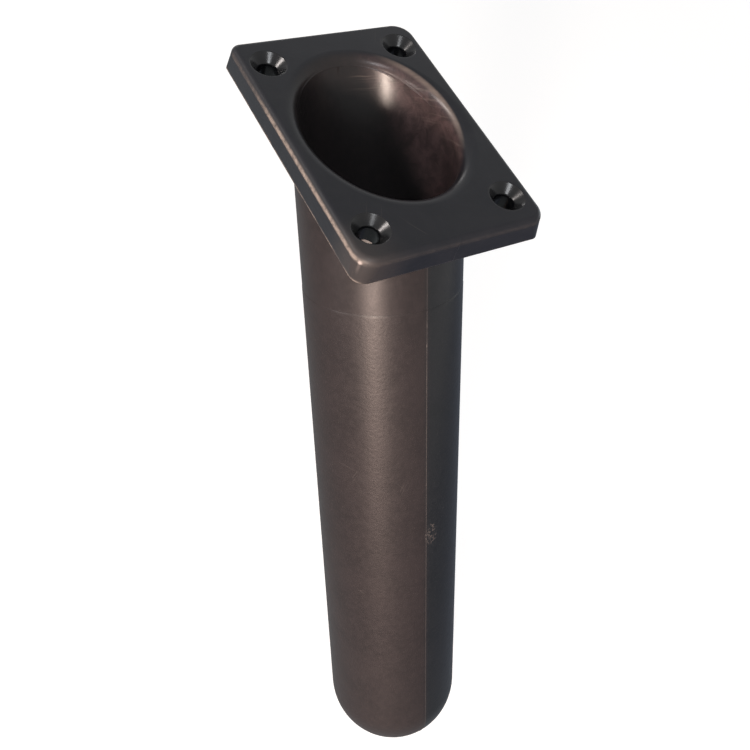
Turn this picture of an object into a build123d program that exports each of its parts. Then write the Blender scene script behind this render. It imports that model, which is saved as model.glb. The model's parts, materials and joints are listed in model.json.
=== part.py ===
from build123d import *
import math
import os

# A flush-mount rod holder in black plastic. A thick rectangular flange is screwed down over a
# hole in the deck, and a closed round tube hangs below it, leaning 30 degrees, to take the butt
# of a fishing rod. The flange moulding ends in a short round collar, and the tube's spigot is
# glued into the socket inside that collar.
#
# Millimetres. The origin is the centre of the flange's underside, where the tube's axis crosses
# the deck. +Z points out of the deck and +X towards the end that the tube leans to.

# Tube and bore
bore_radius = 22.0
tube_wall = 2.5
tilt_angle = 30.0          # between the tube's axis and the flange's normal
tube_depth = 214.0         # along the axis, from the deck to the centre of the domed end

# Flange plate
flange_thickness = 8.4
end_margin = 13.0          # from the tube's outside at the deck to each short edge
side_margin = 7.0          # from the bore's wall to each long edge
corner_radius = 6.0
wall_draft = 1.0           # degrees, on the flange's side walls
top_edge_radius = 2.0
foot_edge_chamfer = 0.5
lip_radius = 4.5           # rounding of the mouth
smallest_land = 0.4        # flat left between the mouth's rounding and the edge's rounding

# Screws: four flat heads, No. 10
screw_end_inset = 10.3     # from the short edge to the screw's axis
screw_side_inset = 7.85    # from the long edge to the screw's axis
screw_hole_radius = 2.7
screw_head_radius = 5.2
screw_head_angle = 90.0

# Underside, cored out at both ends, so that only the rim and the screw pads touch the deck
rim_wall = 3.0
top_skin = 3.6
pad_margin = 3.4           # plastic round each screw hole, on the pocket's side
side_web_length = 26.0     # solid web from the collar to each long wall
rib_thickness = 2.2
web_relief = 0.8           # how far the webs and ribs stand back from the deck
pocket_radius = 1.5

# Glued joint between the flange's collar and the tube
collar_length = 39.0       # along the axis, from the deck to the collar's end
spigot_length = 10.0
glue_gap = 0.1             # round the spigot and at its end
joint_chamfer = 0.2        # the fine groove that shows where the two pieces meet

# Worked out from the sizes above
tilt = math.radians(tilt_angle)
tube_radius = bore_radius + tube_wall
flange_length = 2 * (tube_radius / math.cos(tilt) + end_margin)
flange_width = 2 * (bore_radius + side_margin)
screw_spacing_x = flange_length - 2 * screw_end_inset
screw_spacing_y = flange_width - 2 * screw_side_inset
mouth_rounding = min(lip_radius, side_margin - top_edge_radius - smallest_land)
spigot_radius = bore_radius + tube_wall / 2
core_depth = flange_thickness - top_skin

# The bore's own planes: one square to the tube's axis, and one along it for the section
across_bore = Plane.XY.rotated((0, -tilt_angle, 0))
along_bore = Plane.XZ.rotated((0, -tilt_angle, 0))
bore_axis = Axis(across_bore.origin, across_bore.z_dir)
above_mouth = (flange_thickness + tube_radius * math.sin(tilt)) / math.cos(tilt) + 1

# Pockets that core out the flange's underside, clear of the collar and the screw pads: shallow
# over the webs and ribs, and deep between them
with BuildPart() as pockets:
    with BuildSketch() as inside_rim:
        RectangleRounded(
            flange_length - 2 * rim_wall,
            flange_width - 2 * rim_wall,
            max(corner_radius - rim_wall, pocket_radius),
        )
        with GridLocations(flange_length, flange_width, 2, 2):
            RectangleRounded(
                2 * (screw_end_inset + screw_hole_radius + pad_margin),
                2 * (screw_side_inset + screw_hole_radius + pad_margin),
                screw_hole_radius + pad_margin,
                mode=Mode.SUBTRACT,
            )
    extrude(amount=web_relief)
    with BuildSketch():
        add(inside_rim.sketch)
        Rectangle(side_web_length, flange_width, mode=Mode.SUBTRACT)
        Rectangle(flange_length, rib_thickness, mode=Mode.SUBTRACT)
    extrude(amount=core_depth)
    with BuildSketch(across_bore.offset(-tube_radius)):
        Circle(tube_radius)
    extrude(amount=tube_radius + above_mouth, mode=Mode.SUBTRACT)

# Collar: the round neck under the flange, cut off inside the flange's top skin
with BuildPart() as collar:
    with BuildSketch(across_bore.offset(-collar_length)):
        Circle(tube_radius)
    extrude(amount=collar_length + above_mouth)
    split(bisect_by=Plane.XY.offset(flange_thickness - top_skin / 2), keep=Keep.BOTTOM)

# Flange moulding: plate, collar, rounded mouth, screw holes and the socket for the tube
with BuildPart() as flange_socket:
    with BuildSketch():
        RectangleRounded(flange_length, flange_width, corner_radius)
    extrude(amount=flange_thickness, taper=wall_draft)
    fillet(flange_socket.faces().sort_by(Axis.Z)[-1].edges(), top_edge_radius)
    chamfer(flange_socket.faces().sort_by(Axis.Z)[0].edges(), foot_edge_chamfer)
    add(pockets.part, mode=Mode.SUBTRACT)
    add(collar.part)
    with BuildSketch(across_bore.offset(-collar_length)):
        Circle(bore_radius)
    extrude(amount=collar_length + above_mouth, mode=Mode.SUBTRACT)
    top_face = flange_socket.faces().sort_by(Axis.Z)[-1]
    fillet(top_face.inner_wires()[0].edges(), mouth_rounding)
    with Locations(Plane.XY.offset(flange_thickness)):
        with GridLocations(screw_spacing_x, screw_spacing_y, 2, 2):
            CounterSinkHole(
                screw_hole_radius,
                screw_head_radius,
                depth=flange_thickness,
                counter_sink_angle=screw_head_angle,
            )
    collar_end = flange_socket.faces().sort_by(bore_axis)[0]
    chamfer(collar_end.outer_wire().edges(), joint_chamfer)
    with BuildSketch(across_bore.offset(-collar_length)):
        Circle(spigot_radius)
    extrude(amount=spigot_length, mode=Mode.SUBTRACT)
flange_socket.part.label = "flange_socket"

# Tube: one wall from the spigot's mouth down to the closed dome, turned about the bore's axis
with BuildPart() as tube:
    with BuildSketch(along_bore):
        with BuildLine():
            Polyline(
                (bore_radius, -tube_depth),
                (bore_radius, -collar_length + spigot_length - glue_gap),
                (spigot_radius - glue_gap, -collar_length + spigot_length - glue_gap),
                (spigot_radius - glue_gap, -collar_length),
                (tube_radius - joint_chamfer, -collar_length),
                (tube_radius, -collar_length - joint_chamfer),
                (tube_radius, -tube_depth),
            )
            CenterArc((0, -tube_depth), tube_radius, -90, 90)
            Line((0, -tube_depth - tube_radius), (0, -tube_depth - bore_radius))
            CenterArc((0, -tube_depth), bore_radius, -90, 90)
        make_face()
    revolve(axis=bore_axis)
tube.part.label = "tube"

os.makedirs("parts", exist_ok=True)
for piece in (flange_socket, tube):
    export_step(piece.part, f"parts/{piece.part.label}.step")
    size = piece.part.bounding_box().size
    print(f"{piece.part.label}: {size.X:.1f} x {size.Y:.1f} x {size.Z:.1f} mm")
print(f"screws at {screw_spacing_x:.2f} x {screw_spacing_y:.2f} mm")
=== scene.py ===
import json
import math

import bmesh
import bpy
from mathutils import Matrix, Vector
from mathutils.geometry import delaunay_2d_cdt

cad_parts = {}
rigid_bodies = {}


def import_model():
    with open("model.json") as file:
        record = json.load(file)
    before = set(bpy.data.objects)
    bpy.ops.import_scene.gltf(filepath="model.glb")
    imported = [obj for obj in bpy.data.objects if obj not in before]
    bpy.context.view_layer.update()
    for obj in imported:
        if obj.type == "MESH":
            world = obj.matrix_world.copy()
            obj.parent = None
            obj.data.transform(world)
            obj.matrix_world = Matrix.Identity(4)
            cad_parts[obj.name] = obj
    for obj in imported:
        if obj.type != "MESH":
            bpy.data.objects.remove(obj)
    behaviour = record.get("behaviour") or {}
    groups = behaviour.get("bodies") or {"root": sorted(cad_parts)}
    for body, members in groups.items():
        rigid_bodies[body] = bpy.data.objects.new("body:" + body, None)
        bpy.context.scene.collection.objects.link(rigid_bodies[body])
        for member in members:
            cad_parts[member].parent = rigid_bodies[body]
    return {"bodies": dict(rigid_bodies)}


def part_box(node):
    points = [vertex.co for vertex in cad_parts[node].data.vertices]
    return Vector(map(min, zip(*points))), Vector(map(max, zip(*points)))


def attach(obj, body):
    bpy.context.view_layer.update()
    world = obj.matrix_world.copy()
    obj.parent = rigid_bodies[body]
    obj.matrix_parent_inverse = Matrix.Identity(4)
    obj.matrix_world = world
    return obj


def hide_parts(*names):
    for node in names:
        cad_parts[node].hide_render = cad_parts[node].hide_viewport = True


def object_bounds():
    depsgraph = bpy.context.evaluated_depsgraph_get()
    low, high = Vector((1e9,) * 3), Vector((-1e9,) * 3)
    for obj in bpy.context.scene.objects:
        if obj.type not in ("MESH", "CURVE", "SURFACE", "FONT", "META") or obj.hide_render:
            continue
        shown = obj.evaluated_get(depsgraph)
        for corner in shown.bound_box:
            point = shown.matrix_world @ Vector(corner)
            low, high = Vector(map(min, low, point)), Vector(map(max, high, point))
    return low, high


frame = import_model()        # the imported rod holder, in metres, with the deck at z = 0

bpy.context.view_layer.update()
cadBox = [list(corner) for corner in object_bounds()]
mm = 0.001
scene = bpy.context.scene
holderBody = next(iter(frame["bodies"]))

# The bore leans towards +X below the deck. Its own directions: up the bore, across it in the
# plane of the lean, and sideways.
bore = {
    "lean": math.radians(30.0),
    "radius": 22.0 * mm,
    "outside": 24.39 * mm,       # a little under the solid's, which leaves room for the flash
    "jointDepth": 39.0 * mm,     # along the bore from the deck, where collar and tube meet
    "spigotLength": 10.0 * mm,
    "socketRadius": 23.275 * mm,
    "glueGap": 0.1 * mm,         # round the spigot and at its end
    "domeDepth": 214.0 * mm,
    "flashHalfWidth": 0.24 * mm,
}
upBore = Vector((-math.sin(bore["lean"]), 0.0, math.cos(bore["lean"])))
acrossBore = Vector((math.cos(bore["lean"]), 0.0, math.sin(bore["lean"])))
sideways = Vector((0.0, 1.0, 0.0))


def borePoint(radius, angle, height):
    around = acrossBore * math.cos(angle) + sideways * math.sin(angle)
    return upBore * height + around * radius


# How far the moulding's flash stands up, from 0 to 1, at a distance from the parting plane
def flashShape(offCentre):
    x = offCentre / bore["flashHalfWidth"]
    return (1.0 - x * x) ** 2 if abs(x) < 1.0 else 0.0


def linkObject(name, data):
    made = bpy.data.objects.new(name, data)
    scene.collection.objects.link(made)
    return made


# Turns a bmesh into an object of its own
def objectFrom(bm, name):
    mesh = bpy.data.meshes.new(name)
    bm.to_mesh(mesh)
    bm.free()
    return linkObject(name, mesh)


def evaluatedMesh(source):
    evaluated = source.evaluated_get(bpy.context.evaluated_depsgraph_get())
    return bpy.data.meshes.new_from_object(evaluated)


# A new object from an evaluated one: outward faces, smooth between creases, and with normals
# that follow the larger faces, so that flats stay flat beside their rounded edges
def finishedPiece(source, name, sharpAngle):
    mesh = evaluatedMesh(source)
    mesh.name = name
    bm = bmesh.new()
    bm.from_mesh(mesh)
    bmesh.ops.recalc_face_normals(bm, faces=bm.faces)
    bm.to_mesh(mesh)
    bm.free()
    mesh.shade_smooth()
    mesh.set_sharp_from_angle(angle=math.radians(sharpAngle))
    made = linkObject(name, mesh)
    weights = made.modifiers.new("faceWeights", "WEIGHTED_NORMAL")
    weights.keep_sharp = True
    made.data = evaluatedMesh(made)
    made.modifiers.clear()
    bpy.data.meshes.remove(mesh)
    made.data.name = name
    return made


flangeLow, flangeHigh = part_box("flange_socket")
flange = {
    "length": flangeHigh.x - flangeLow.x,
    "width": flangeHigh.y - flangeLow.y,
    "thickness": flangeHigh.z,
    "lengthTrim": 0.14 * mm,     # kept off the solid's length, which leaves room for the flash
    "corners": {                 # radius at the foot and at the top, by the signs of x and y
        (1, 1): (2.0 * mm, 5.0 * mm),
        (-1, 1): (3.0 * mm, 6.0 * mm),
        (-1, -1): (0.6 * mm, 3.0 * mm),
        (1, -1): (4.0 * mm, 5.6 * mm),
    },
    "draft": math.radians(1.0),
    "topRound": 2.0 * mm,
    "footRound": 0.5 * mm,
    "mouthRound": 4.5 * mm,
    "flash": 0.06 * mm,
    "collarFlash": 0.04 * mm,
    "collarStep": 0.07 * mm,     # how much slimmer than the tube the collar is
    "collarSoft": 0.02 * mm,     # the bevel round its end
    "screwInset": (10.22 * mm, 7.85 * mm),
    "holeRadius": 2.7 * mm,
    "headRadius": 5.2 * mm,
    "holeRim": 0.42 * mm,        # how round the countersink is at its rim and at its waist
    "holeWaist": 1.2 * mm,
    "holeFoot": 1.1 * mm,        # the cone that opens each hole again at the deck
    "rimWall": 3.0 * mm,
    "topSkin": 3.6 * mm,
    "padReach": 6.1 * mm,        # from a screw's axis to the edge of its pad
    "webHalf": 13.0 * mm,
    "ribHalf": 1.1 * mm,
    "webRelief": 0.8 * mm,
    "pocketRound": 0.9 * mm,
    "ceilingRound": 0.5 * mm,
    "collarClear": 0.02 * mm,    # between the cored underside and the collar
    "lipSteps": 16,
    "holeSteps": 64,
    "creaseAngle": 32.0,
}
flange["length"] -= flange["lengthTrim"]
quarters = ((1, 1), (-1, 1), (-1, -1), (1, -1))      # signs of x and y, going round


# Angles round the bore, close together at both parting lines
def boreAngles():
    fine = [0.0, 0.14, 0.28, 0.42, 0.56, 0.8, 1.2, 2.0]
    half = fine + [2.0 * i for i in range(2, 89)] + [180.0 - a for a in reversed(fine)]
    whole = half + [360.0 - a for a in reversed(half[1:-1])]
    return [math.radians(a) for a in whole]


def bridge(bm, first, second):
    count = len(first)
    for i in range(count):
        j = (i + 1) % count
        bm.faces.new((first[i], first[j], second[j], second[i]))


def addRing(bm, points):
    return [bm.verts.new(p) for p in points]


def level(points, height):
    return [(x, y, height) for x, y in points]


def insideLoop(x, y, loop):
    odd = False
    for i in range(len(loop)):
        x1, y1 = loop[i - 1]
        x2, y2 = loop[i]
        if (y1 > y) != (y2 > y) and x < x1 + (y - y1) * (x2 - x1) / (y2 - y1):
            odd = not odd
    return odd


# Triangles between an outer ring and the rings of its holes, all at one height
def fillFlat(bm, outer, holes):
    verts, edges, spans = [], [], []
    for ring in [outer] + holes:
        start, count = len(verts), len(ring)
        verts += ring
        edges += [(start + i, start + (i + 1) % count) for i in range(count)]
        spans.append(slice(start, start + count))
    scaled = [Vector((v.co.x, v.co.y)) * 1000.0 for v in verts]        # in mm, for its tolerance
    _, _, faces, origins, _, _ = delaunay_2d_cdt(scaled, edges, [], 0, 1e-7, True)
    outline, *openings = [scaled[span] for span in spans]
    for face in faces:
        corners = [origins[i][0] for i in face]
        x, y = (sum(scaled[i][axis] for i in corners) / 3.0 for axis in (0, 1))
        if insideLoop(x, y, outline) and not any(insideLoop(x, y, loop) for loop in openings):
            bm.faces.new([verts[i] for i in corners])


# Points round the plate at one height, with the flash on both end walls. The corners are tighter
# at the foot than at the top, and share says how far up a ring lies.
def plateRing(inset, softened, share, height, flash):
    s = flange
    endX, endY = s["length"] / 2 - inset, s["width"] / 2 - inset
    corner = {}
    for place, (low, high) in s["corners"].items():
        corner[place] = low + (high - low) * share - softened
    near = [y * mm for y in (0.0, 0.06, 0.12, 0.18, 0.24, 0.5)]

    def endWall(sx):
        steps = []
        for sy in (-1, 1):
            far = endY - corner[sx, sy] - near[-1]
            half = near + [near[-1] + far * k / 10 for k in range(1, 11)]
            steps += [-y for y in reversed(half[1:])] if sy < 0 else half
        return [(sx * (endX + flash * flashShape(y)), y) for y in steps]

    def quarter(sx, sy, start):
        r = corner[sx, sy]
        points = []
        for k in range(1, 14):
            a = math.radians(start + 90.0 * k / 14)
            points.append((sx * (endX - r) + r * math.cos(a), sy * (endY - r) + r * math.sin(a)))
        return points

    def sideWall(sy):
        x1, x2 = corner[-1, sy] - endX, endX - corner[1, sy]
        return [(x1 + (x2 - x1) * k / 24, sy * endY) for k in range(25)]

    points = endWall(1) + quarter(1, 1, 0.0)
    points += sideWall(1)[::-1] + quarter(-1, 1, 90.0)
    points += endWall(-1)[::-1] + quarter(-1, -1, 180.0)
    points += sideWall(-1) + quarter(1, -1, 270.0)
    return level(points, height)


# Rings from the foot of the plate up to its flat top
def plateRows(bm):
    s = flange
    rows = []      # inset, softening of the corners, share of the way up, height, flash
    slope = math.tan(s["draft"])
    wallTop = s["thickness"] - s["topRound"]
    for k in range(6):
        a = math.radians(90.0 * k / 5)
        height = s["footRound"] * (1.0 - math.cos(a))
        softened = s["footRound"] * (1.0 - math.sin(a))
        inset = softened + height * slope
        rows.append((inset, softened, height / wallTop, height, s["flash"] * k / 5))
    for k in range(1, 6):
        height = s["footRound"] + (wallTop - s["footRound"]) * k / 6
        rows.append((height * slope, 0.0, height / wallTop, height, s["flash"]))
    for k in range(13):
        a = s["draft"] + (math.pi / 2 - s["draft"]) * k / 12
        height = wallTop + s["topRound"] * math.sin(a)
        softened = s["topRound"] * (math.cos(s["draft"]) - math.cos(a))
        inset = wallTop * slope + softened
        rows.append((inset, softened, 1.0, height, s["flash"] * math.cos(a)))
    rings = [addRing(bm, plateRing(*row)) for row in rows]
    for lower, upper in zip(rings, rings[1:]):
        bridge(bm, lower, upper)
    return rings[0], rings[-1]


# From the flat top, round the lip, down the bore, round the collar's end and up to the deck
def mouthAndCollar(bm):
    s = flange
    r, rho = bore["radius"], s["mouthRound"]
    sinLean, cosLean = math.sin(bore["lean"]), math.cos(bore["lean"])
    angles = boreAngles()
    upright = Vector((0.0, 0.0, 1.0))
    heights = []
    rings = []
    for k in range(s["lipSteps"] + 1):
        ring = []
        for a in angles:
            out = acrossBore * math.cos(a) + sideways * math.sin(a)
            height = ((s["thickness"] - rho) - (r + rho) * sinLean * math.cos(a)) / cosLean
            centre = upBore * height + out * (r + rho)
            whole = math.acos(-out.z)          # the angle that the lip turns through here
            part = whole * k / s["lipSteps"]
            side = (-out - upright * -out.z).normalized()
            ring.append(centre + (upright * math.cos(part) + side * math.sin(part)) * rho)
            if k == 0:
                heights.append(height)
        rings.append(ring)
    foot = -(bore["jointDepth"] - bore["spigotLength"])
    eased = ((0.10, 0.03), (0.22, 0.07), (0.36, 0.07), (0.55, 0.0))    # drop, and how much tighter
    for drop, tighter in eased:
        wall = r - tighter * mm
        rings.append([borePoint(wall, a, h - drop * mm) for a, h in zip(angles, heights)])
    for k in range(1, 15):
        ring = []
        for a, h in zip(angles, heights):
            ring.append(borePoint(r, a, (h - drop * mm) * (1 - k / 14) + foot * k / 14))
        rings.append(ring)
    socket = bore["socketRadius"]
    end = -bore["jointDepth"]
    soft = s["collarSoft"]
    wide = bore["outside"] - s["collarStep"]
    for radius, height in ((socket, foot), (socket, end), (wide - soft, end)):
        rings.append([borePoint(radius, a, height) for a in angles])
    collar = []
    for a in angles:
        rise = s["collarFlash"] * flashShape(bore["outside"] * math.sin(a))
        collar.append((a, wide + rise))
    rings.append([borePoint(radius, a, end + soft) for a, radius in collar])
    for k in range(1, 11):
        ring = []
        for a, radius in collar:
            deck = -radius * math.tan(bore["lean"]) * math.cos(a)
            height = (end + soft) * (1 - k / 10) + deck * k / 10
            ring.append(borePoint(radius, a, height))
        rings.append(ring)
    rings = [addRing(bm, ring) for ring in rings]
    for upper, lower in zip(rings, rings[1:]):
        bridge(bm, upper, lower)
    for v in rings[0]:
        v.co.z = s["thickness"]
    for v in rings[-1]:
        v.co.z = 0.0
    return rings[0], rings[-1]


# Four countersunk holes, with a softened rim and a small cone under each
def screwHoles(bm):
    s = flange
    rim, waist, top, hole = s["holeRim"], s["holeWaist"], s["thickness"], s["holeRadius"]
    halfTurn = math.tan(math.radians(22.5))        # the cone's sides stand at 45 degrees
    profile = []
    for k in range(5):
        a = math.radians(90.0 - 45.0 * k / 4)
        out = s["headRadius"] + rim * halfTurn - rim * math.cos(a)
        profile.append((out, top - rim + rim * math.sin(a)))
    low = top - (s["headRadius"] - hole) - waist * halfTurn
    for k in range(7):
        a = math.radians(45.0 - 45.0 * k / 6)
        profile.append((hole + waist - waist * math.cos(a), low + waist * math.sin(a)))
    profile.append((hole, s["holeFoot"]))
    profile.append((hole + s["holeFoot"], 0.0))
    tops, feet = [], []
    for sx in (-1, 1):
        for sy in (-1, 1):
            x = sx * (s["length"] / 2 - s["screwInset"][0])
            y = sy * (s["width"] / 2 - s["screwInset"][1])
            rings = []
            for radius, height in profile:
                points = []
                for k in range(s["holeSteps"]):
                    a = 2 * math.pi * k / s["holeSteps"]
                    points.append((x + radius * math.cos(a), y + radius * math.sin(a)))
                rings.append(addRing(bm, level(points, height)))
            for upper, lower in zip(rings, rings[1:]):
                bridge(bm, upper, lower)
            tops.append(rings[0])
            feet.append(rings[-1])
    return tops, feet


# A closed block between two rings of points, with its top edge rounded if that is asked
def block(name, low, high, roundTop=0.0):
    bm = bmesh.new()
    low, high = addRing(bm, low), addRing(bm, high)
    bridge(bm, low, high)
    bm.faces.new(low[::-1])
    bm.faces.new(high)
    bmesh.ops.recalc_face_normals(bm, faces=bm.faces)
    if roundTop:
        top = high[0].co.z - 1e-6
        edges = [e for e in bm.edges if all(v.co.z > top for v in e.verts)]
        bmesh.ops.bevel(bm, geom=edges, offset=roundTop, segments=4, profile=0.5, affect="EDGES")
    return objectFrom(bm, name)


# Points that round the corner between two straight runs
def roundedCorner(corner, before, after, radius, steps):
    c, b, a = Vector(corner), Vector(before), Vector(after)
    d1, d2 = (b - c).normalized(), (a - c).normalized()
    half = d1.angle(d2) / 2
    reach = radius / math.tan(half)
    middle = c + (d1 + d2).normalized() * radius / math.sin(half)
    start, stop = c + d1 * reach - middle, c + d2 * reach - middle
    turn = start.angle_signed(stop)
    points = []
    for k in range(steps + 1):
        p = start.copy()
        p.rotate(Matrix.Rotation(-turn * k / steps, 2))
        points.append(tuple(middle + p))
    return points


# The shallow recess inside the rim, and the four deep pockets, seen from above
def pocketOutlines():
    s = flange
    x1, y1 = s["length"] / 2 - s["rimWall"], s["width"] / 2 - s["rimWall"]
    padX = s["length"] / 2 - s["screwInset"][0] - s["padReach"]
    padY = s["width"] / 2 - s["screwInset"][1] - s["padReach"]
    pad, web, rib = s["padReach"], s["webHalf"], s["ribHalf"]

    def rounded(corner, before, after):
        return roundedCorner(corner, before, after, s["pocketRound"], 4)

    def mirrored(points, sx, sy):
        placed = [(sx * x, sy * y) for x, y in points]
        return placed if sx * sy > 0 else placed[::-1]

    padPart = rounded((x1, padY), (x1, rib), (padX + pad, padY))
    for k in range(11):
        a = math.radians(270.0 - 90.0 * k / 10)
        padPart.append((padX + pad + pad * math.cos(a), padY + pad + pad * math.sin(a)))
    padPart += rounded((padX, y1), (padX, padY + pad), (web, y1))
    pocket = rounded((x1, rib), (web, rib), (x1, padY)) + padPart
    pocket += rounded((web, y1), (padX, y1), (web, rib)) + [(web, rib)]
    recess = [point for signs in quarters for point in mirrored(padPart, *signs)]
    return recess, [mirrored(pocket, *signs) for signs in quarters]


def applyBoolean(target, cutter, operation, solver):
    change = target.modifiers.new(operation.lower(), "BOOLEAN")
    change.operation = operation
    change.object = cutter
    change.solver = solver
    mesh = evaluatedMesh(target)
    target.modifiers.clear()
    target.data = mesh


def buildFlange():
    bm = bmesh.new()
    foot, top = plateRows(bm)
    mouth, collar = mouthAndCollar(bm)
    holeTops, holeFeet = screwHoles(bm)
    fillFlat(bm, top, [mouth] + holeTops)
    fillFlat(bm, foot, [collar] + holeFeet)
    bmesh.ops.recalc_face_normals(bm, faces=bm.faces)
    shell = objectFrom(bm, "flangeShell")

    # What is cut out of the underside stays clear of the collar
    clear = bore["outside"] + flange["collarClear"]
    reach = 30.0 * mm
    ends = [[borePoint(clear, a, height) for a in boreAngles()] for height in (-reach, reach)]
    core = block("collarCore", *ends)
    recess, pockets = pocketOutlines()
    below, ceiling = -1.0 * mm, flange["thickness"] - flange["topSkin"]
    cutters = [block("webRecess", level(recess, below), level(recess, flange["webRelief"]))]
    for i, outline in enumerate(pockets):
        low, high = level(outline, below), level(outline, ceiling)
        cutters.append(block("pocket" + str(i), low, high, flange["ceilingRound"]))
    for cutter in cutters:
        applyBoolean(cutter, core, "DIFFERENCE", "EXACT")
        applyBoolean(shell, cutter, "DIFFERENCE", "MANIFOLD")
    for helper in cutters + [core]:
        bpy.data.objects.remove(helper)
    return shell


shell = buildFlange()
flangePiece = finishedPiece(shell, "flangeMoulding", flange["creaseAngle"])
bpy.data.objects.remove(shell)
print("flange moulding:", len(flangePiece.data.polygons), "faces")

tube = {
    "Radius": bore["outside"],
    "Bore Radius": bore["radius"],
    "Joint Depth": bore["jointDepth"],
    "Spigot Length": bore["spigotLength"] - bore["glueGap"],
    "Spigot Radius": bore["socketRadius"] - bore["glueGap"],
    "Dome Depth": bore["domeDepth"],
    "Shoulder Depth": 0.09 * mm,
    "Shoulder Length": 0.42 * mm,
    "Flash Height": 0.1 * mm,
    "Flash Half Width": bore["flashHalfWidth"],
    "Flash Full Depth": 60.0 * mm,      # the flash is low near the joint, and full from here on
    "Nick Length": 1.1 * mm,
    "Nick Height": 0.07 * mm,
    "Gate Depth": 122.5 * mm,
    "Gate Length": 4.2 * mm,
    "Gate Height": 0.24 * mm,
    "Gate Aside": 1.9 * mm,
    "Gate Half Width": 3.0 * mm,
    "Lean": bore["lean"],
    "Steps Around": 193,
}
tubeDetail = {
    "bunching": 0.46,            # how much closer the steps lie at the two parting lines
    "nickDepths": (44.0 * mm, 50.5 * mm, 101.0 * mm, 163.0 * mm),
    "flashWaves": 140.0,         # noise scales
    "gateTears": 900.0,
    "insideRows": 24,
    "outsideRows": 280,
    "domeRows": 30,
    "mergeDistance": 2e-6,
    "creaseAngle": 32.0,
}


# A node's inputs come in order, or by their labels, as plain values or as other nodes' outputs
def setInputs(tree, node, inputs):
    for label, value in inputs.items() if isinstance(inputs, dict) else enumerate(inputs):
        if isinstance(value, (int, float, tuple)):
            node.inputs[label].default_value = value
        else:
            tree.links.new(value, node.inputs[label])


def addNode(tree, kind, inputs=()):
    node = tree.nodes.new(kind)
    setInputs(tree, node, inputs)
    return node


# The kind of group socket that suits a plain value or another node's output
def socketKind(value):
    if isinstance(value, int):
        return "NodeSocketInt"
    if isinstance(value, tuple):
        return "NodeSocketVector" if len(value) == 3 else "NodeSocketColor"
    special = {"VECTOR": "NodeSocketVector", "RGBA": "NodeSocketColor"}
    return special.get(getattr(value, "type", None), "NodeSocketFloat")


def mathNode(tree, operation, *values):
    node = addNode(tree, "ShaderNodeMath", values)
    node.operation = operation
    return node.outputs[0]


def vectorNode(tree, operation, *values):
    node = addNode(tree, "ShaderNodeVectorMath", values)
    node.operation = operation
    return node.outputs["Value" if operation in ("LENGTH", "DOT_PRODUCT") else "Vector"]


def splitNode(tree, vector):
    return tuple(addNode(tree, "ShaderNodeSeparateXYZ", (vector,)).outputs)


def mergeNode(tree, *values):
    return addNode(tree, "ShaderNodeCombineXYZ", values).outputs[0]


# Short names for a tree's sums, so that a formula reads as one
def sums(tree, *operations):
    return [lambda *values, kind=name: mathNode(tree, kind, *values) for name in operations]


def rootOfSquares(tree, x, y):
    plus, times, root = sums(tree, "ADD", "MULTIPLY", "SQRT")
    return root(plus(times(x, x), times(y, y)))


def noiseNode(tree, vector, scale, detail, roughness=0.5, distortion=0.0):
    return addNode(tree, "ShaderNodeTexNoise", {
        "Vector": vector, "Scale": scale, "Detail": detail,
        "Roughness": roughness, "Distortion": distortion,
    }).outputs["Fac"]


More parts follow.
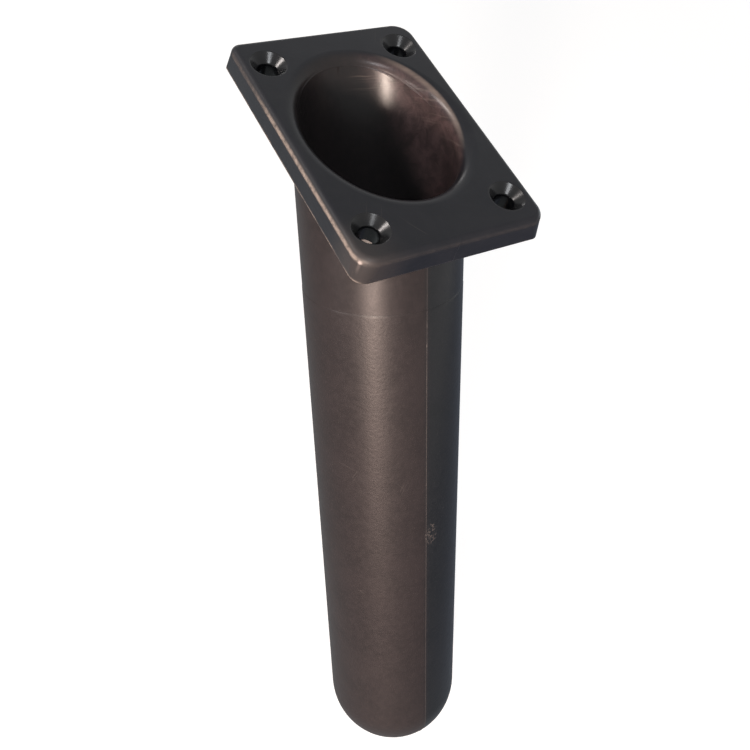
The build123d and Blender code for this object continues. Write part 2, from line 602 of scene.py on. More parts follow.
# A turned tube: bands between profile points, each a grid wrapped round the bore's axis
def tubeTree():
    tree = bpy.data.node_groups.new("turnedTube", "GeometryNodeTree")
    face = tree.interface
    face.new_socket("Geometry", in_out="INPUT", socket_type="NodeSocketGeometry")
    for name, value in tube.items():
        socket = face.new_socket(name, in_out="INPUT", socket_type=socketKind(value))
        socket.default_value = value
    face.new_socket("Material", in_out="INPUT", socket_type="NodeSocketMaterial")
    face.new_socket("Geometry", in_out="OUTPUT", socket_type="NodeSocketGeometry")
    size = {s.name: s for s in tree.nodes.new("NodeGroupInput").outputs}
    plus, minus, times, over = sums(tree, "ADD", "SUBTRACT", "MULTIPLY", "DIVIDE")
    sin, cos, greatest = sums(tree, "SINE", "COSINE", "MAXIMUM")
    detail = tubeDetail

    # Each grid's own x goes once round the axis, bunched up at the two parting lines
    place = splitNode(tree, tree.nodes.new("GeometryNodeInputPosition").outputs[0])
    turn = times(place[0], 2 * math.pi)
    angle = minus(turn, times(sin(times(turn, 2.0)), detail["bunching"]))
    along = plus(place[1], 0.5)
    cosine, sine = cos(angle), sin(angle)
    cosLean, sinLean = cos(size["Lean"]), sin(size["Lean"])
    join = tree.nodes.new("GeometryNodeJoinGeometry")

    # A soft hump, 1 at the middle and 0 from a half width on
    def hump(value, middle, half):
        off = over(minus(value, middle), half)
        high = greatest(minus(1.0, times(off, off)), 0.0)
        return times(high, high)

    # The flash is uneven along the tube, low near the joint, and has a few nicks
    def flashAlong(depth):
        waves = noiseNode(tree, mergeNode(tree, depth), detail["flashWaves"], 2.0)
        rise = mathNode(tree, "SMOOTH_MIN", over(depth, size["Flash Full Depth"]), 1.0, 0.2)
        total = times(times(plus(waves, 0.75), rise), size["Flash Height"])
        for nick in detail["nickDepths"]:
            total = plus(total, times(hump(depth, nick, size["Nick Length"]), size["Nick Height"]))
        return total

    # What the gate left: a torn spot beside the line on the near side
    def gateScar(radius, depth):
        side = times(radius, sine)
        near = mathNode(tree, "GREATER_THAN", cosine, 0.0)
        tears = noiseNode(tree, mergeNode(tree, side, depth), detail["gateTears"], 2.0)
        torn = times(minus(tears, 0.34), 3.0)
        area = times(hump(depth, size["Gate Depth"], size["Gate Length"]),
                     hump(side, size["Gate Aside"], size["Gate Half Width"]))
        return times(times(greatest(torn, 0.0), times(area, near)), size["Gate Height"])

    # One band; lift raises the flash along the band's own normal, given by its tilt
    def wrap(radius, depth, rows, lift=None, tilt=None):
        if lift is not None:
            ridge = times(hump(times(radius, sine), 0.0, size["Flash Half Width"]), lift)
            if tilt is None:
                radius = plus(radius, greatest(ridge, gateScar(radius, depth)))
            else:
                radius = plus(radius, times(ridge, cos(tilt)))
                depth = plus(depth, times(ridge, sin(tilt)))
        grid = addNode(tree, "GeometryNodeMeshGrid", {
            "Size X": 1.0, "Size Y": 1.0,
            "Vertices X": size["Steps Around"], "Vertices Y": rows + 1,
        })
        out = times(radius, cosine)
        x = plus(times(out, cosLean), times(depth, sinLean))
        z = minus(times(out, sinLean), times(depth, cosLean))
        move = addNode(tree, "GeometryNodeSetPosition", {
            "Geometry": grid.outputs["Mesh"],
            "Position": mergeNode(tree, x, times(radius, sine), z),
        })
        tree.links.new(move.outputs[0], join.inputs[0])

    def straight(r0, d0, r1, d1, rows, flashed=False):
        radius = plus(r0, times(minus(r1, r0), along))
        depth = plus(d0, times(minus(d1, d0), along))
        wrap(radius, depth, rows, flashAlong(depth) if flashed else None)

    def dome(radius, rows, lift=None):
        tilt = times(along, math.pi / 2)
        depth = plus(size["Dome Depth"], times(radius, sin(tilt)))
        wrap(times(radius, cos(tilt)), depth, rows, lift, tilt)

    joint, radius, inner = size["Joint Depth"], size["Radius"], size["Bore Radius"]
    spigot = size["Spigot Radius"]
    mouth = minus(joint, size["Spigot Length"])
    rim = minus(radius, size["Shoulder Depth"])
    start = plus(joint, size["Shoulder Length"])
    straight(inner, size["Dome Depth"], inner, mouth, detail["insideRows"])
    straight(inner, mouth, spigot, mouth, 1)
    straight(spigot, mouth, spigot, joint, 3)
    straight(spigot, joint, rim, joint, 1)
    straight(rim, joint, radius, start, 2)
    straight(radius, start, radius, size["Dome Depth"], detail["outsideRows"], flashed=True)
    dome(radius, detail["domeRows"], size["Flash Height"])
    dome(inner, detail["insideRows"])

    # Merging closes the seams and the poles
    weld = {"Geometry": join.outputs[0], "Distance": detail["mergeDistance"]}
    last = addNode(tree, "GeometryNodeMergeByDistance", weld).outputs[0]
    last = addNode(tree, "GeometryNodeRealizeInstances", (last,)).outputs[0]
    paint = {"Geometry": last, "Material": size["Material"]}
    last = addNode(tree, "GeometryNodeSetMaterial", paint).outputs[0]
    addNode(tree, "NodeGroupOutput", (last,))
    return tree


def setInput(modifier, name, value):
    for item in modifier.node_group.interface.items_tree:
        if item.item_type == "SOCKET" and item.in_out == "INPUT" and item.name == name:
            modifier[item.identifier] = value


# A shader group is opened with its inputs' values, and closed with its outputs
def openGroup(name, inputs):
    group = bpy.data.node_groups.new(name, "ShaderNodeTree")
    for label, value in inputs.items():
        socket = group.interface.new_socket(label, in_out="INPUT", socket_type=socketKind(value))
        socket.default_value = value
    return group, group.nodes.new("NodeGroupInput").outputs


def closeGroup(group, outputs):
    for label, value in outputs.items():
        group.interface.new_socket(label, in_out="OUTPUT", socket_type=socketKind(value))
    addNode(group, "NodeGroupOutput", outputs)
    return group


# A group placed in a material; its inputs appear once it has its tree
def groupNode(tree, group, inputs):
    node = tree.nodes.new("ShaderNodeGroup")
    node.node_tree = group
    setInputs(tree, node, inputs)
    return node.outputs


def objectPlace(tree):
    return addNode(tree, "ShaderNodeTexCoord").outputs["Object"]


# Rises smoothly from 0 at low to 1 at high
def stepNode(tree, value, low, high):
    node = addNode(tree, "ShaderNodeMapRange", (value, low, high))
    node.interpolation_type = "SMOOTHSTEP"
    return node.outputs["Result"]


def fadeNode(tree, value, low, high):
    return mathNode(tree, "SUBTRACT", 1.0, stepNode(tree, value, low, high))


def mixColour(tree, factor, first, second):
    mix = addNode(tree, "ShaderNodeMix", {0: factor, 6: first, 7: second})
    mix.data_type = "RGBA"
    return mix.outputs[2]


# first + factor * (second - first)
def mixValue(tree, factor, first, second):
    return mathNode(tree, "MULTIPLY_ADD", factor, mathNode(tree, "SUBTRACT", second, first), first)


# Spark-eroded mould texture: small pits over short wrinkles, as a height and as a mottle
def mouldGrain():
    group, given = openGroup("mouldGrain", {
        "Pit Scale": 1500.0, "Pits": 0.5, "Wrinkle Scale": 500.0, "Wrinkles": 0.5,
    })
    plus, times = sums(group, "ADD", "MULTIPLY")
    place = objectPlace(group)
    pits = noiseNode(group, place, given["Pit Scale"], 1.0)
    flat = vectorNode(group, "MULTIPLY", place, (0.55, 0.55, 1.5))
    wrinkles = noiseNode(group, flat, given["Wrinkle Scale"], 2.0, 0.55, 0.6)
    height = plus(times(pits, given["Pits"]), times(wrinkles, given["Wrinkles"]))
    patches = noiseNode(group, place, times(given["Pit Scale"], 0.4), 3.0, 0.6)
    return closeGroup(group, {"Height": height, "Mottle": stepNode(group, patches, 0.38, 0.66)})


# Two tones of one plastic that drift into each other
def toneDrift():
    group, given = openGroup("toneDrift", {
        "First": (0.02, 0.02, 0.02, 1.0), "Second": (0.03, 0.03, 0.03, 1.0),
        "Scale": 60.0, "Mottle": 0.0, "Mottle Share": 0.3,
    })
    plus, times, least = sums(group, "ADD", "MULTIPLY", "MINIMUM")
    waves = noiseNode(group, objectPlace(group), given["Scale"], 5.0, 0.6, 0.4)
    drift = stepNode(group, waves, 0.3, 0.7)
    both = least(plus(drift, times(given["Mottle"], given["Mottle Share"])), 1.0)
    tone = mixColour(group, both, given["First"], given["Second"])
    return closeGroup(group, {"Color": tone, "Drift": drift})


# Faint scratches from handling, in two directions, broken up into patches
def handlingMarks():
    group, given = openGroup("handlingMarks", {
        "Length Scale": 60.0, "Width Scale": 2600.0, "Cover": 0.5,
    })
    plus, minus, times, greatest = sums(group, "ADD", "SUBTRACT", "MULTIPLY", "MAXIMUM")
    place = objectPlace(group)
    lengthScale, widthScale = given["Length Scale"], given["Width Scale"]
    size = mergeNode(group, lengthScale, widthScale, lengthScale)
    lines = []
    for turn in ((0.4, 0.3, 0.5), (-0.7, 0.5, -0.6)):
        mapped = addNode(group, "ShaderNodeMapping", {"Vector": place, "Rotation": turn})
        stretch = vectorNode(group, "MULTIPLY", mapped.outputs[0], size)
        lines.append(stepNode(group, noiseNode(group, stretch, 1.0, 1.0), 0.70, 0.80))
    low = minus(1.0, given["Cover"])
    patch = stepNode(group, noiseNode(group, place, 45.0, 3.0), low, plus(low, 0.12))
    return closeGroup(group, {"Marks": times(greatest(*lines), patch)})


# The plate's edges: a painted highlight along the rounded top edge and another along the foot,
# both strongest on the side towards -Y where the light falls, and broken up by noise so that
# they look rubbed. Round is 1 all along the top edge.
def paintedRimHighlights():
    group, given = openGroup("paintedRimHighlights", {
        "Half Size": (0.041, 0.029, 0.0), "Corner": 5.5 * mm, "Top": 8.0 * mm,
        "Reach": 2.0 * mm, "Elsewhere": 0.05, "Break Up": 500.0,
    })
    plus, minus, times, timesPlus = sums(group, "ADD", "SUBTRACT", "MULTIPLY", "MULTIPLY_ADD")
    least, greatest = sums(group, "MINIMUM", "MAXIMUM")
    place = objectPlace(group)
    x, y, z = splitNode(group, place)

    # How far inside the plate's rounded outline a point lies
    corner = mergeNode(group, given["Corner"], given["Corner"])
    core = vectorNode(group, "SUBTRACT", given["Half Size"], corner)
    reach = vectorNode(group, "SUBTRACT", vectorNode(group, "ABSOLUTE", place), core)
    flat = vectorNode(group, "MULTIPLY", reach, (1.0, 1.0, 0.0))
    beyond = vectorNode(group, "LENGTH", vectorNode(group, "MAXIMUM", flat, (0.0, 0.0, 0.0)))
    parts = splitNode(group, flat)
    past = plus(beyond, least(greatest(parts[0], parts[1]), 0.0))
    off = minus(given["Corner"], past)

    depth = minus(given["Top"], z)
    away = rootOfSquares(group, minus(off, 0.25 * mm), minus(depth, 1.6 * mm))
    near = fadeNode(group, away, 0.2 * mm, given["Reach"])
    front = fadeNode(group, y, -28.7 * mm, -26.2 * mm)
    share = mixValue(group, front, given["Elsewhere"], 1.0)
    broken = stepNode(group, noiseNode(group, place, given["Break Up"], 4.0, 0.65), 0.12, 0.66)
    along = timesPlus(stepNode(group, x, -28.0 * mm, -8.0 * mm), 0.8, 0.2)
    rubAndSheen = times(times(near, share), times(broken, along))
    turned = times(fadeNode(group, off, 1.5 * mm, 2.8 * mm),
                   fadeNode(group, depth, 1.8 * mm, 3.0 * mm))
    low = fadeNode(group, z, 0.3 * mm, 1.0 * mm)
    patches = noiseNode(group, place, times(given["Break Up"], 0.4), 3.0)
    edge = fadeNode(group, off, 0.6 * mm, 1.2 * mm)
    foot = times(times(low, edge), times(stepNode(group, patches, 0.3, 0.6), share))
    return closeGroup(group, {"Edge Highlight": rubAndSheen, "Foot Highlight": foot, "Round": turned})


# Places on the bore: how far in a point is (1 on the wall, 0 outside the lip), which mould half
# it lies in, and the point in the bore's own directions, with its height along the bore as z
def borePlace():
    group, given = openGroup("borePlace", {
        "Wall Radius": bore["radius"], "Lip": 2.0 * mm,
        "Line Softness": 1.6 * mm, "Seam Width": 0.3 * mm,
    })
    plus, times, size = sums(group, "ADD", "MULTIPLY", "ABSOLUTE")
    place, parts = objectPlace(group), []
    for way in (acrossBore, sideways, upBore):
        parts.append(vectorNode(group, "DOT_PRODUCT", place, tuple(way)))
    side = parts[1]
    soft = given["Line Softness"]
    wall = given["Wall Radius"]
    away = rootOfSquares(group, parts[0], side)
    return closeGroup(group, {
        "Inside": fadeNode(group, away, wall, plus(wall, given["Lip"])),
        "Height": parts[2],
        "Far Half": stepNode(group, side, times(soft, -1.0), soft),
        "Seam": fadeNode(group, size(side), 0.0, given["Seam Width"]),
        "Place": mergeNode(group, *parts),
    })


# Patterns round a bore: thin wavy rings that come and go, and blotches that break up its painted
# light
def boreRingsAndBlotches():
    group, given = openGroup("boreRingsAndBlotches", {
        "Place": (0.0, 0.0, 0.0), "Ring Scale": 900.0, "Waviness": 2.0 * mm, "Blotch Scale": 110.0,
    })
    minus, times, timesPlus = sums(group, "SUBTRACT", "MULTIPLY", "MULTIPLY_ADD")
    place = given["Place"]
    x, y, z = splitNode(group, place)
    sway = minus(noiseNode(group, place, 75.0, 2.0), 0.5)
    height = timesPlus(sway, given["Waviness"], z)
    rings = mergeNode(group, times(x, 42.0), times(y, 42.0), times(height, given["Ring Scale"]))
    blotches = noiseNode(group, place, given["Blotch Scale"], 5.0, 0.7, 0.8)
    return closeGroup(group, {
        "Rings": noiseNode(group, rings, 1.0, 3.0, 0.6),
        "Blotches": stepNode(group, blotches, 0.32, 0.74),
    })


grainGroup, toneGroup, marksGroup = mouldGrain(), toneDrift(), handlingMarks()
rimGroup, placeGroup, boreNoiseGroup = paintedRimHighlights(), borePlace(), boreRingsAndBlotches()


# A plastic's own material, with the node groups that every plastic has
def newPlastic(name, f):
    material = bpy.data.materials.new(name)
    material.use_nodes = True
    tree = material.node_tree
    shader = tree.nodes["Principled BSDF"]
    shader.inputs["Specular IOR Level"].default_value = f["specular"]
    grain = groupNode(tree, grainGroup, f["grain"])
    marks = groupNode(tree, marksGroup, f["handling"])["Marks"]
    return material, tree, shader, grain, marks, groupNode(tree, placeGroup, {})


def plasticTone(tree, pair, f, mottle):
    return groupNode(tree, toneGroup, {
        "First": pair[0], "Second": pair[1],
        "Scale": f["toneScale"], "Mottle Share": f["mottleShare"], "Mottle": mottle,
    })


# Colour, roughness and bump, into the shader
def joinShader(tree, shader, colour, rough, height, depth):
    bump = addNode(tree, "ShaderNodeBump", {"Strength": 1.0, "Distance": depth, "Height": height})
    setInputs(tree, shader, {"Base Color": colour, "Roughness": rough, "Normal": bump.outputs[0]})


flangeFinish = {
    "tones": ((0.0052, 0.0060, 0.0088, 1.0), (0.0082, 0.0088, 0.0118, 1.0)),
    "boreToneAndPaintedLight": ((0.0104, 0.0102, 0.0107, 1.0), (0.063, 0.042, 0.043, 1.0)),
    # handling marks, and the painted highlights on the plate's edges and painted light round its
    # near corner
    "rubbedAndHighlit": (0.185, 0.158, 0.140, 1.0),
    "cornerHighlightColour": (0.27, 0.235, 0.22, 1.0),
    "lipSheenAndScratch": (0.150, 0.122, 0.108, 1.0),
    "paintedHoleShade": (0.002, 0.002, 0.002, 1.0),
    "smooth": 0.278,
    "rough": 0.335,
    "boreSmooth": 0.278,
    "boreRough": 0.315,
    "lipRough": 0.29,
    "edgeRougher": 0.18,
    "wornRougher": 0.25,
    "holeSmooth": 0.24,
    "holePolish": 0.22,          # coat over the countersinks, which the cutter left bright
    "specular": 0.25,
    "grainDepth": 0.02 * mm,
    "toneScale": 90.0,
    "mottleShare": 0.2,
    "grain": {"Pit Scale": 2000.0, "Pits": 0.35, "Wrinkle Scale": 320.0, "Wrinkles": 1.2},
    "handling": {"Cover": 0.43},
    "handlingShare": 0.1,        # how much of the lighter colour each takes on: handling marks, painted edge and foot highlights
    "edgeHighlightShare": 0.95,
    "footHighlightShare": 0.8,
    "glowNearCornerShare": 0.11,
    "scratchGlintShare": 0.3,
    "edge": {"Corner": 5.5 * mm, "Reach": 1.0 * mm, "Break Up": 700.0},
    # Painted light in the bore: its lit side lighter and redder, edged like the lip's shadow and
    # broken up by blotches
    "scuffsAndPaintedLight": {"Blotch Scale": 230.0},
    "litSideDirection": (0.485, 0.875),     # towards which side of the bore the painted light lies
    "litSideSlant": 0.66,              # and how fast it narrows with depth
    "shadowEdge": (-8.5 * mm, 2.5 * mm),
    "scratchGlintSide": (-13.0 * mm, -3.0 * mm),
    "scratchDepth": (5.0 * mm, 11.0 * mm),
    "lipSheenSide": (15.0 * mm, 22.5 * mm),
    "highlitCorner": (38.7 * mm, -27.9 * mm, 6.5 * mm),
}


# The rounded lip: 1 all round it, and 1 on the side towards +Y, where a highlight is painted along
# it
def lipMask(tree, place):
    times, timesPlus = sums(tree, "MULTIPLY", "MULTIPLY_ADD")
    x, y, _ = splitNode(tree, place)
    away = rootOfSquares(tree, x, y)

    def band(start, full, fade, stop):
        start, full, fade, stop = (bore["radius"] + step * mm for step in (start, full, fade, stop))
        return times(stepNode(tree, away, start, full), fadeNode(tree, away, fade, stop))

    sector = stepNode(tree, timesPlus(x, -0.26, times(y, 0.966)), *flangeFinish["lipSheenSide"])
    return band(0.05, 0.5, 2.2, 3.6), times(band(0.5, 1.2, 1.5, 2.2), sector)


# The near corner: a painted highlight at its top with a painted streak of light down its wall,
# and faint painted light round it
def paintedCornerHighlight(tree):
    times, timesPlus, root = sums(tree, "MULTIPLY", "MULTIPLY_ADD", "SQRT")
    shift = vectorNode(tree, "SUBTRACT", objectPlace(tree), flangeFinish["highlitCorner"])
    x, y, z = splitNode(tree, shift)
    aside = rootOfSquares(tree, x, y)
    away = root(timesPlus(z, z, times(aside, aside)))
    top = fadeNode(tree, away, 0.15 * mm, 0.85 * mm)
    side = fadeNode(tree, aside, 0.1 * mm, 0.7 * mm)
    low = times(stepNode(tree, z, -5.5 * mm, -1.0 * mm), fadeNode(tree, z, 0.0, 0.8 * mm))
    streak = times(times(side, low), 0.12)
    cornerGlow = fadeNode(tree, aside, 1.0 * mm, 15.0 * mm)
    return mathNode(tree, "MAXIMUM", top, streak), cornerGlow


# 1 inside the four screw holes, which are bored smoother than the moulded faces
def screwHoleMask(tree):
    x, y, _ = splitNode(tree, vectorNode(tree, "ABSOLUTE", objectPlace(tree)))
    x = mathNode(tree, "SUBTRACT", x, flange["length"] / 2 - flange["screwInset"][0])
    y = mathNode(tree, "SUBTRACT", y, flange["width"] / 2 - flange["screwInset"][1])
    head = flange["headRadius"]
    return fadeNode(tree, rootOfSquares(tree, x, y), head - 0.1 * mm, head + 0.3 * mm)


# In the bore: painted light on one side, which narrows with depth along the lip's shadow and is
# broken up by blotchy scuffs, and fine scratches below the lip, their light arcs partly painted
# glints
def boreLightAndWear(tree, place, rubAndSheen):
    f = flangeFinish
    minus, times, timesPlus = sums(tree, "SUBTRACT", "MULTIPLY", "MULTIPLY_ADD")
    x, y, z = splitNode(tree, place)
    toSide = timesPlus(y, f["litSideDirection"][1], times(x, f["litSideDirection"][0]))
    drop = minus(flange["thickness"], times(z, math.cos(bore["lean"])))
    drop = timesPlus(x, -math.sin(bore["lean"]), drop)
    slanted = timesPlus(drop, -f["litSideSlant"], toSide)
    # 1 on the side of the bore painted as lit, 0.1 in the lip's painted shadow
    scuffed = timesPlus(stepNode(tree, slanted, *f["shadowEdge"]), 0.9, 0.1)
    scuffsAndPaintedLight = times(timesPlus(rubAndSheen["Blotches"], 0.65, 0.35), scuffed)
    below = fadeNode(tree, drop, *f["scratchDepth"])
    scratchesAndGlints = times(below, stepNode(tree, rubAndSheen["Rings"], 0.52, 0.72))
    return scuffsAndPaintedLight, times(scratchesAndGlints, stepNode(tree, toSide, *f["scratchGlintSide"]))


def flangePlasticMaterial():
    f = flangeFinish
    material, tree, shader, grain, marks, where = newPlastic("satinBlackFlangePlastic", f)
    times, timesPlus, greatest = sums(tree, "MULTIPLY", "MULTIPLY_ADD", "MAXIMUM")
    tone = plasticTone(tree, f["tones"], f, grain["Mottle"])
    half = (flange["length"] / 2, flange["width"] / 2, 0.0)
    rim = groupNode(tree, rimGroup, {"Half Size": half, "Top": flange["thickness"], **f["edge"]})
    rubAndSheen = groupNode(tree, boreNoiseGroup, {"Place": where["Place"], **f["scuffsAndPaintedLight"]})
    inside = where["Inside"]
    hole = screwHoleMask(tree)
    ring, paintedLipHighlight = lipMask(tree, where["Place"])
    cornerGlint, cornerGlow = paintedCornerHighlight(tree)
    scuffsAndPaintedLight, scratchesAndGlints = boreLightAndWear(tree, where["Place"], rubAndSheen)
    scratchesAndGlints = times(scratchesAndGlints, inside)

    # Handling marks, with the painted highlights along the plate's top edge and foot
    marksAndHighlights = times(marks, timesPlus(inside, -f["handlingShare"], f["handlingShare"]))
    marksAndHighlights = greatest(marksAndHighlights, times(rim["Edge Highlight"], f["edgeHighlightShare"]))
    marksAndHighlights = greatest(marksAndHighlights, times(rim["Foot Highlight"], f["footHighlightShare"]))
    # the bore's lit side painted in its lighter, redder tone
    colour = mixColour(tree, scuffsAndPaintedLight, *f["boreToneAndPaintedLight"])
    # light scratch arcs below the lip, partly painted glints where the bore's highlight falls
    colour = mixColour(tree, times(scratchesAndGlints, f["scratchGlintShare"]), colour, f["lipSheenAndScratch"])
    colour = mixColour(tree, inside, tone["Color"], colour)
    # a painted highlight along the lip on the side towards +Y, broken up by the rings
    paintedLipHighlight = times(paintedLipHighlight, timesPlus(rubAndSheen["Rings"], 0.6, 0.3))
    for share, over in (
        (marksAndHighlights, "rubbedAndHighlit"),
        (paintedLipHighlight, "lipSheenAndScratch"),
        # painted light round the near corner, and a painted highlight with a streak of light on it
        (times(cornerGlow, f["glowNearCornerShare"]), "rubbedAndHighlit"),
        (cornerGlint, "cornerHighlightColour"),
        # painted shade inside the screw holes
        (times(hole, 0.7), "paintedHoleShade"),
    ):
        colour = mixColour(tree, share, colour, f[over])

    outer = timesPlus(tone["Drift"], f["rough"] - f["smooth"], f["smooth"])
    inner = timesPlus(scuffsAndPaintedLight, f["boreRough"] - f["boreSmooth"], f["boreSmooth"])
    satin = timesPlus(marksAndHighlights, f["wornRougher"], mixValue(tree, inside, outer, inner))
    satin = timesPlus(rim["Round"], f["edgeRougher"], satin)
    satin = mixValue(tree, ring, satin, f["lipRough"])
    satin = mixValue(tree, hole, satin, f["holeSmooth"])
    polish = times(hole, f["holePolish"])
    setInputs(tree, shader, {"Coat Weight": polish, "Coat Roughness": f["holeSmooth"]})

    height = timesPlus(times(rubAndSheen["Rings"], inside), 0.015, grain["Height"])
    height = timesPlus(scratchesAndGlints, -0.35, height)
    height = timesPlus(marks, -0.25, height)
    height = times(height, timesPlus(hole, -0.85, 1.0))       # hardly any grain in the holes
    joinShader(tree, shader, colour, satin, height, f["grainDepth"])
    return material


tubeFinish = {
    "tones": ((0.0132, 0.0104, 0.0108, 1.0), (0.0168, 0.0132, 0.0137, 1.0)),
    # the far half painted darker and bluer: painted shade, with a cool tint from light on that side
    "shadedFarTones": ((0.0066, 0.0076, 0.0092, 1.0), (0.0084, 0.0095, 0.0114, 1.0)),
    "scuffed": (0.080, 0.070, 0.067, 1.0),
    "smooth": 0.39,
    "rough": 0.44,
    "farSmoother": 0.07,         # the mould's far half is a little better polished
    "collarSmoother": 0.02,
    "collarCalmer": 0.75,
    "specular": 0.25,
    "grainDepth": 0.030 * mm,
    "toneScale": 70.0,
    "mottleShare": 0.5,
    "grain": {"Pit Scale": 1150.0, "Pits": 1.0, "Wrinkle Scale": 620.0, "Wrinkles": 1.0},
    "handling": {"Length Scale": 80.0, "Width Scale": 2200.0, "Cover": 0.42},
    "handlingShare": 0.3,
    "seamShare": 0.22,
    "gateShare": 0.9,
    "gateStretch": (4.0, 2.6, 4.4),
}


# Plastic whitened where the gate tore off, in curls beside the parting line
def gateWhitening(tree, place):
    spot = (bore["outside"], 2.0 * mm, -tube["Gate Depth"])
    shift = vectorNode(tree, "SUBTRACT", place, spot)
    squash = vectorNode(tree, "DIVIDE", shift, tubeFinish["gateStretch"])
    area = fadeNode(tree, vectorNode(tree, "LENGTH", squash), 0.7 * mm, 1.15 * mm)
    curls = stepNode(tree, noiseNode(tree, place, 620.0, 2.0, 0.6, 1.4), 0.50, 0.66)
    return mathNode(tree, "MULTIPLY", area, curls)


def tubePlasticMaterial():
    f = tubeFinish
    material, tree, shader, grain, marks, where = newPlastic("grainedBlackTubePlastic", f)
    times, timesPlus = sums(tree, "MULTIPLY", "MULTIPLY_ADD")
    tones = []
    for pair in ("tones", "shadedFarTones"):
        tones.append(plasticTone(tree, f[pair], f, grain["Mottle"])["Color"])
    farHalf = where["Far Half"]
    deep = -bore["jointDepth"]
    collar = stepNode(tree, where["Height"], deep - 2.0 * mm, deep + 1.0 * mm)
    # the far half painted in its darker, bluer tones: painted shade
    colour = mixColour(tree, farHalf, *tones)
    for mark, share in (
        (marks, "handlingShare"),
        (where["Seam"], "seamShare"),
        (gateWhitening(tree, where["Place"]), "gateShare"),
    ):
        colour = mixColour(tree, times(mark, f[share]), colour, f["scuffed"])
    uneven = timesPlus(grain["Mottle"], f["rough"] - f["smooth"], f["smooth"])
    uneven = timesPlus(farHalf, -f["farSmoother"], uneven)
    uneven = timesPlus(collar, -f["collarSmoother"], uneven)
    height = times(grain["Height"], timesPlus(collar, -f["collarCalmer"], 1.0))
    joinShader(tree, shader, colour, uneven, height, f["grainDepth"])
    return material


flangePlastic = flangePlasticMaterial()
tubePlastic = tubePlasticMaterial()

seed = linkObject("tubeSeed", bpy.data.meshes.new("tubeSeed"))
turned = seed.modifiers.new("turnedTube", "NODES")
turned.node_group = tubeTree()
for label, value in tube.items():
    setInput(turned, label, value)
setInput(turned, "Material", tubePlastic)
bpy.context.view_layer.update()
tubePiece = finishedPiece(seed, "closedTube", tubeDetail["creaseAngle"])
bpy.data.objects.remove(seed)
print("closed tube:", len(tubePiece.data.polygons), "faces")

# The collar below the deck is grained like the tube
flangePiece.data.materials.clear()
flangePiece.data.materials.append(flangePlastic)
flangePiece.data.materials.append(tubePlastic)
for polygon in flangePiece.data.polygons:
    middle = polygon.center
    away = (middle - upBore * middle.dot(upBore)).length
    polygon.material_index = 1 if middle.z < 0.0 and away > bore["outside"] - 0.3 * mm else 0
for piece, node, slot in (
    (flangePiece, "flange_socket", "flange_plastic"),
    (tubePiece, "tube", "tube_plastic"),
):
    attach(piece, holderBody)
    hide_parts(node)

studio = {
    "floorBelow": 0.4 * mm,
    "floorSize": 8.0,
    "floorGrey": (0.35, 0.35, 0.35, 1.0),
    "floorGlow": 0.76,           # what the floor shows of its own, to the camera and in gloss
    "paper": (0.776, 0.858),     # how white the room's walls are in reflections, and when seen
    "matSize": 0.7,
    "matLift": 0.1 * mm,
    "reflectionGlowColours": ((0.38, 0.41, 0.42, 1.0), (0.20, 0.22, 0.27, 1.0)),    # towards -Y, +Y
    "matFade": (-0.06, 0.10),
    "room": 0.28,
    "aim": Vector((0.02, 0.0, -0.04)),
    "lamps": (       # direction, distance, width and height in metres, watts, colour
        ("windowLamp", (0.76, -0.64, 0.06), 0.75, (0.18, 0.42), 5.4, (1.0, 0.72, 0.61)),
        ("highWindowLamp", (0.69, -0.69, 0.235), 0.75, (0.12, 0.10), 7.2, (1.0, 0.84, 0.72)),
        ("middleLamp", (0.20, -0.93, 0.30), 1.0, (0.26, 0.10), 2.2, (1.0, 0.90, 0.84)),
        ("leftLamp", (-0.42, -0.70, 0.57), 1.0, (0.34, 0.10), 4.5, (1.0, 0.92, 0.88)),
        ("backLamp", (-0.95, 0.22, 0.10), 1.0, (0.07, 0.10), 0.3, (1.0, 0.97, 0.95)),
        ("frontLamp", (0.52, -0.30, 0.80), 1.2, (0.38, 0.24), 4.5, (0.95, 0.97, 1.0)),
        ("fillLamp", (-0.20, 0.96, -0.08), 1.0, (0.50, 0.10), 1.5, (0.86, 0.93, 1.0)),
        ("lowLamp", (0.08, -0.98, -0.10), 1.0, (0.16, 0.06), 1.5, (1.0, 0.93, 0.90)),
    ),
}
floorHeight = cadBox[0][2] - studio["floorBelow"]


# A piece of the studio, with its own material's empty tree
def stagePiece(bm, name, materialName):
    piece = objectFrom(bm, name)
    material = bpy.data.materials.new(materialName)
    piece.data.materials.append(material)
    material.use_nodes = True
    material.node_tree.nodes.clear()
    return piece, material.node_tree


# 1 for rays from the camera, and 1 for all rays that show a surface: those, gloss and glass
def seenRays(tree):
    path = addNode(tree, "ShaderNodeLightPath").outputs
    seen = mathNode(tree, "MAXIMUM", path["Is Camera Ray"], path["Is Glossy Ray"])
    return path["Is Camera Ray"], mathNode(tree, "MAXIMUM", seen, path["Is Transmission Ray"])


bm = bmesh.new()
bmesh.ops.create_grid(bm, x_segments=1, y_segments=1, size=studio["floorSize"] / 2)
for v in bm.verts:
    v.co.z = floorHeight
tree = stagePiece(bm, "studioFloor", "paperWhite")[1]
matt = addNode(tree, "ShaderNodeBsdfDiffuse", {"Color": studio["floorGrey"]}).outputs[0]
strength = mathNode(tree, "MULTIPLY", seenRays(tree)[1], studio["floorGlow"])
glow = addNode(tree, "ShaderNodeEmission", {"Strength": strength}).outputs[0]
both = addNode(tree, "ShaderNodeAddShader", (matt, glow)).outputs[0]
below = addNode(tree, "ShaderNodeNewGeometry").outputs["Backfacing"]
clear = addNode(tree, "ShaderNodeBsdfTransparent").outputs[0]      # so that the underside shows
oneSided = addNode(tree, "ShaderNodeMixShader", (below, both, clear)).outputs[0]
addNode(tree, "ShaderNodeOutputMaterial", {"Surface": oneSided})
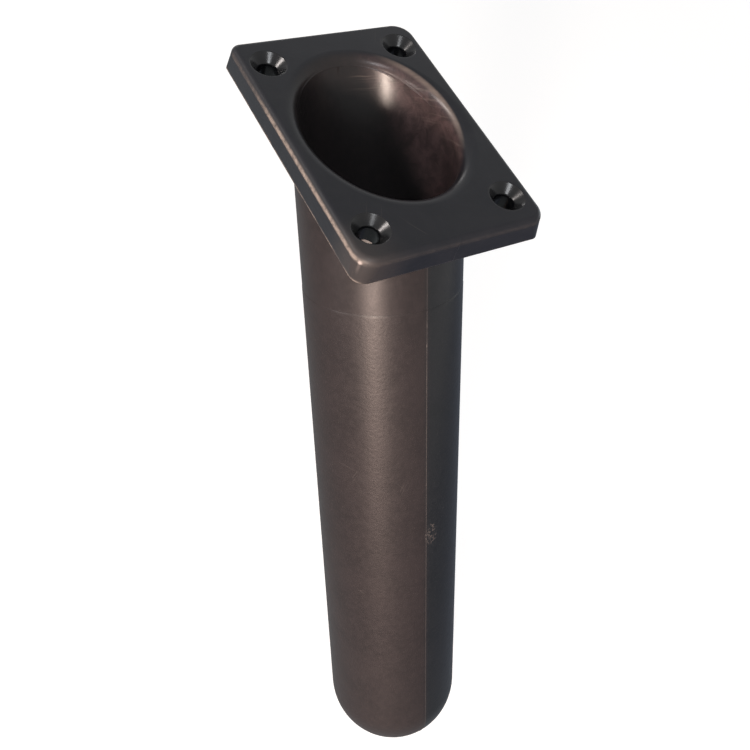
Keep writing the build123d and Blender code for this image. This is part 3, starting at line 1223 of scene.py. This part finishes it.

# A grey sheet under the holder, seen in gloss alone as black goods are usually shot: it glows as a
# painted reflection, lighter towards -Y and darker and bluer towards +Y
bm = bmesh.new()
matAngles = [2 * math.pi * k / 48 for k in range(48)]
matRim = [(studio["matSize"] * math.cos(a), studio["matSize"] * math.sin(a)) for a in matAngles]
bm.faces.new(addRing(bm, level(matRim, floorHeight + studio["matLift"])))
greyMat, tree = stagePiece(bm, "greyMat", "paintedReflectionGlow")
for ray in ("camera", "diffuse", "transmission", "volume_scatter", "shadow"):
    setattr(greyMat, "visible_" + ray, False)
fade = stepNode(tree, splitNode(tree, objectPlace(tree))[1], *studio["matFade"])
grey = mixColour(tree, fade, *studio["reflectionGlowColours"])
glow = addNode(tree, "ShaderNodeEmission", {"Color": grey}).outputs[0]
addNode(tree, "ShaderNodeOutputMaterial", {"Surface": glow})

# The room is dim as a light, and white where it is seen
world = bpy.data.worlds.new("softRoom")
scene.world = world
world.use_nodes = True
tree = world.node_tree
tree.nodes.clear()
byCamera, seen = seenRays(tree)
room = addNode(tree, "ShaderNodeBackground", {"Strength": studio["room"]})
white = addNode(tree, "ShaderNodeBackground", {
    "Color": (1.0, 1.0, 1.0, 1.0), "Strength": mixValue(tree, byCamera, *studio["paper"]),
})
shown = addNode(tree, "ShaderNodeMixShader", (seen, room.outputs[0], white.outputs[0]))
addNode(tree, "ShaderNodeOutputWorld", {"Surface": shown.outputs[0]})

# Soft lamps, each a level ellipse that faces the middle of the holder
for name, direction, distance, size, power, colour in studio["lamps"]:
    data = bpy.data.lights.new(name, "AREA")
    data.shape = "ELLIPSE"
    data.size, data.size_y = size
    data.energy = power
    data.color = colour
    lamp = linkObject(name, data)
    way = Vector(direction).normalized()
    lamp.location = studio["aim"] + way * distance
    lamp.rotation_mode = "QUATERNION"
    lamp.rotation_quaternion = way.to_track_quat("Z", "Y")
    lamp.visible_camera = False

view = {
    "place": Vector((141.52, -119.21, 158.97)) * mm,
    "right": Vector((0.4559, 0.8595, 0.2313)),
    "down": Vector((0.7996, -0.2814, -0.5306)),
    "lens": 40.55,
    "sensor": 36.0,
    "clip": (0.005, 50.0),
}
right = view["right"].normalized()
up = -(view["down"] - right * view["down"].dot(right)).normalized()
turn = Matrix((right, up, right.cross(up))).transposed().to_4x4()
camera = linkObject("viewCamera", bpy.data.cameras.new("viewCamera"))
camera.matrix_world = Matrix.Translation(view["place"]) @ turn
camera.data.lens = view["lens"]
camera.data.sensor_width = view["sensor"]
camera.data.clip_start, camera.data.clip_end = view["clip"]
scene.camera = camera
scene.view_settings.view_transform = "Standard"
print("studio and camera ready")

bpy.context.view_layer.update()
